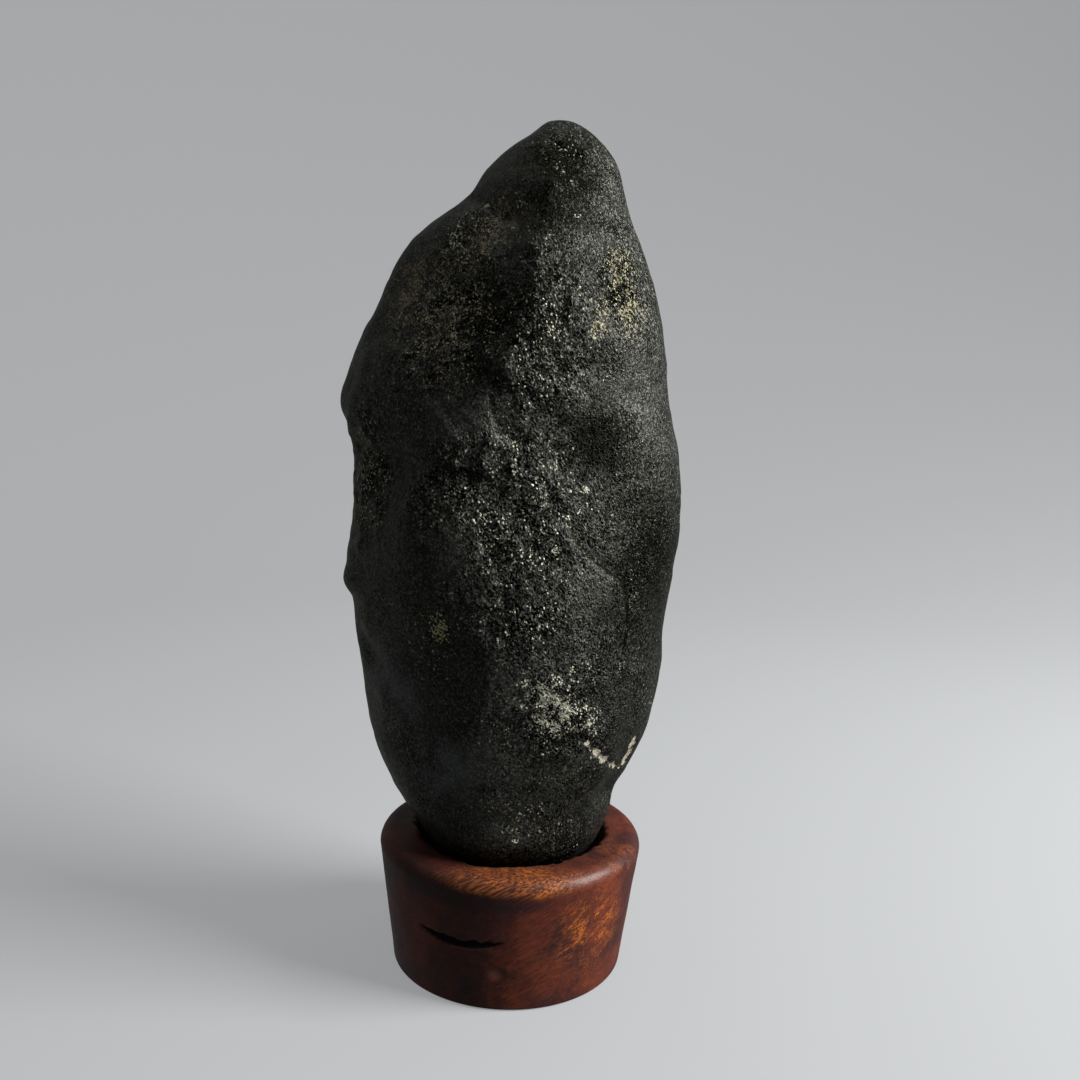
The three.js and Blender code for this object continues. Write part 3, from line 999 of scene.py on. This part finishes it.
COOL_WHITE = (0.965, 0.985, 1.0, 1.0)
ROOM_TINT = (0.94, 0.97, 1.0, 1.0)

BACKDROP_RISE = 0.85  # radius of the curve from the floor up into the wall
GROUND_STEPS = 4
RISE_STEPS = 20
STEPS_ROUND = 96
FLOOR_DROP = 0.05 * MM  # how far the floor lies below the stand, so that the two faces don't fight

# Each light's name, place, the point it faces, its size, and the setting that holds its power.
LIGHTS = [
    ("window", (0.66, -0.15, 0.42), (0.0, 0.0, 0.10), (0.40, 0.40), "window_power"),
    ("ceiling", (-0.30, -0.10, 0.80), (0.0, 0.0, 0.10), (0.6, 0.6), "ceiling_power"),
    ("wall_light", (0.10, 0.20, 0.95), (0.0, 1.25, 0.30), (0.7, 0.4), "wall_power"),
]

LENS = 34.67
SENSOR_WIDTH = 36.0
CAMERA_PLACE = (0.00450, -0.24659, 0.13900)
CAMERA_RIGHT = (0.99924, 0.00545, 0.03849)
CAMERA_AHEAD = (0.0, 0.99014, -0.14009)


def make_backdrop(settings):
    """A round floor that curves up all round into a wall."""
    radius, rise = settings.radius, BACKDROP_RISE
    outline = [(radius * step / GROUND_STEPS, 0.0) for step in range(GROUND_STEPS + 1)]
    for step in range(1, RISE_STEPS + 1):
        turn = math.pi / 2 * step / RISE_STEPS
        outline.append((radius + rise * math.sin(turn), rise - rise * math.cos(turn)))
    outline = [(away / MM, (height - FLOOR_DROP) / MM) for away, height in outline]
    backdrop = shown("backdrop", spun(outline, STEPS_ROUND))
    paint = Paint("pale backdrop", settings.cloth, Roughness=0.9, Specular_IOR_Level=0.1)
    paint.shader.inputs["Base Color"].default_value = (*settings.cloth, 1.0)
    paint.shader.inputs["Emission Color"].default_value = COOL_WHITE
    paint.shader.inputs["Emission Strength"].default_value = settings.glow
    backdrop.data.materials.append(paint.material)
    # Only the lights and the room light reach the object: the backdrop throws none back on it.
    backdrop.visible_diffuse = False
    backdrop.visible_glossy = False


def make_light(name, place, aim, size, energy):
    data = bpy.data.lights.new(name, "AREA")
    data.shape = "RECTANGLE"
    data.size, data.size_y = size
    data.energy = energy
    lamp = bpy.data.objects.new(name, data)
    lamp.location = place
    lamp.rotation_euler = (Vector(aim) - Vector(place)).to_track_quat("-Z", "Y").to_euler()
    bpy.context.scene.collection.objects.link(lamp)


def make_lights(settings):
    for name, place, aim, size, power_setting in LIGHTS:
        make_light(name, place, aim, size, getattr(settings, power_setting))
    world = bpy.data.worlds.new("room")
    world.use_nodes = True
    background = world.node_tree.nodes["Background"]
    background.inputs["Color"].default_value = ROOM_TINT
    background.inputs["Strength"].default_value = settings.room_light
    bpy.context.scene.world = world


def make_camera():
    data = bpy.data.cameras.new("camera")
    data.lens, data.sensor_width, data.sensor_fit = LENS, SENSOR_WIDTH, "HORIZONTAL"
    data.clip_start, data.clip_end = 0.01, 20.0
    camera = bpy.data.objects.new("camera", data)
    right = Vector(CAMERA_RIGHT).normalized()
    ahead = Vector(CAMERA_AHEAD).normalized()
    upward = right.cross(ahead)
    right = ahead.cross(upward)
    turned = Matrix((right, upward, -ahead)).transposed()
    camera.matrix_world = Matrix.Translation(CAMERA_PLACE) @ turned.to_4x4()
    scene = bpy.context.scene
    scene.collection.objects.link(camera)
    scene.camera = camera
    scene.view_settings.view_transform = "Standard"
    scene.view_settings.look = "None"


# ---- The add-on ----


class SCHOLARS_ROCK_OT_stone(Operator):
    """Make the stone from its solid"""

    bl_idname = "scholars_rock.stone"
    bl_label = "Stone"

    def execute(self, context):
        settings = context.scene.rock_stone
        piece = shown("worn_stone", rounded_copy(settings))
        work_stone(piece.data)
        piece.data.materials.append(stone_finish(settings))
        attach(piece, "root")
        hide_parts("stone")
        return {"FINISHED"}


class SCHOLARS_ROCK_OT_stand(Operator):
    """Turn the stand, carve its socket and finish the wood"""

    bl_idname = "scholars_rock.stand"
    bl_label = "Stand"

    def execute(self, context):
        settings = context.scene.rock_stand
        piece = shown("turned_stand", spun(turned_outline(settings), settings.around))
        work_stand(piece.data)
        piece.data.materials.append(wood_finish(settings))
        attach(piece, "root")
        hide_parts("stand")
        return {"FINISHED"}


class SCHOLARS_ROCK_OT_stage(Operator):
    """Set out the floor, the backdrop, the lights and the camera"""

    bl_idname = "scholars_rock.stage"
    bl_label = "Stage"

    def execute(self, context):
        settings = context.scene.rock_stage
        make_backdrop(settings)
        make_lights(settings)
        make_camera()
        return {"FINISHED"}


class SCHOLARS_ROCK_PT_sidebar(Panel):
    """Lists the rock's pieces and their settings"""

    bl_idname = "SCHOLARS_ROCK_PT_sidebar"
    bl_label = "Scholar's Rock"
    bl_space_type = "VIEW_3D"
    bl_region_type = "UI"
    bl_category = "Rock"

    def draw(self, context):
        for group in ("stone", "stand", "stage"):
            settings = getattr(context.scene, f"rock_{group}")
            box = self.layout.box()
            box.operator(f"scholars_rock.{group}")
            for key in settings.bl_rna.properties.keys():
                if key not in {"rna_type", "name"}:
                    box.prop(settings, key)


CLASSES = [
    RockStoneSettings,
    RockStandSettings,
    RockStageSettings,
    SCHOLARS_ROCK_OT_stone,
    SCHOLARS_ROCK_OT_stand,
    SCHOLARS_ROCK_OT_stage,
    SCHOLARS_ROCK_PT_sidebar,
]


def register():
    for part in CLASSES:
        bpy.utils.register_class(part)
    bpy.types.Scene.rock_stone = PointerProperty(type=RockStoneSettings)
    bpy.types.Scene.rock_stand = PointerProperty(type=RockStandSettings)
    bpy.types.Scene.rock_stage = PointerProperty(type=RockStageSettings)


def unregister():
    del bpy.types.Scene.rock_stage
    del bpy.types.Scene.rock_stand
    del bpy.types.Scene.rock_stone
    for part in reversed(CLASSES):
        bpy.utils.unregister_class(part)


def main():
    register()
    bpy.ops.scholars_rock.stage()
    bpy.ops.scholars_rock.stone()
    bpy.ops.scholars_rock.stand()


if __name__ == "__main__":
    main()
